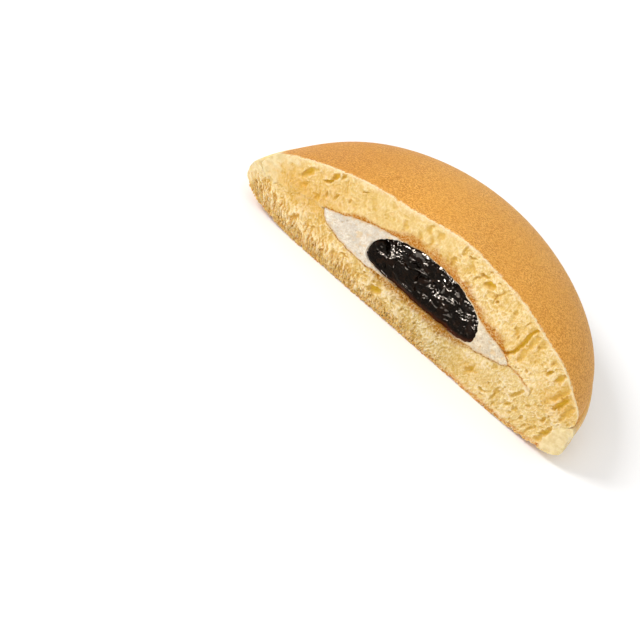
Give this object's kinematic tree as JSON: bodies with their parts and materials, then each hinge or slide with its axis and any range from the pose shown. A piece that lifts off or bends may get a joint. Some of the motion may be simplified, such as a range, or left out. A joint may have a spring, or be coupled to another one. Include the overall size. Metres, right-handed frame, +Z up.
{
  "type": "half of a filled pancake sandwich",
  "caption": "Half of a round filled pancake sandwich, cut upright to show whipped cream round dark coffee jelly between soft golden pancakes.",
  "frame": {"origin": "middle of the bounding box's underside, on the surface that the lower pancake rests on", "axes": "+Z up, +X along the cut from its left end to its right end, +Y from the cut face back into the food"},
  "size_m": [0.1002, 0.0476, 0.0331],
  "materials": {
    "upper_pancake": "soft matt golden-brown crust over pale yellow crumb",
    "lower_pancake": "pale yellow open crumb with a golden-brown base",
    "cream": "off-white whipped cream with fine bubbles",
    "coffee_jelly": "wet, very dark brown jelly"
  },
  "bodies": {
    "root": {"upper_pancake": "upper_pancake", "lower_pancake": "lower_pancake", "cream": "cream", "coffee_jelly": "coffee_jelly"}
  },
  "joints": []
}
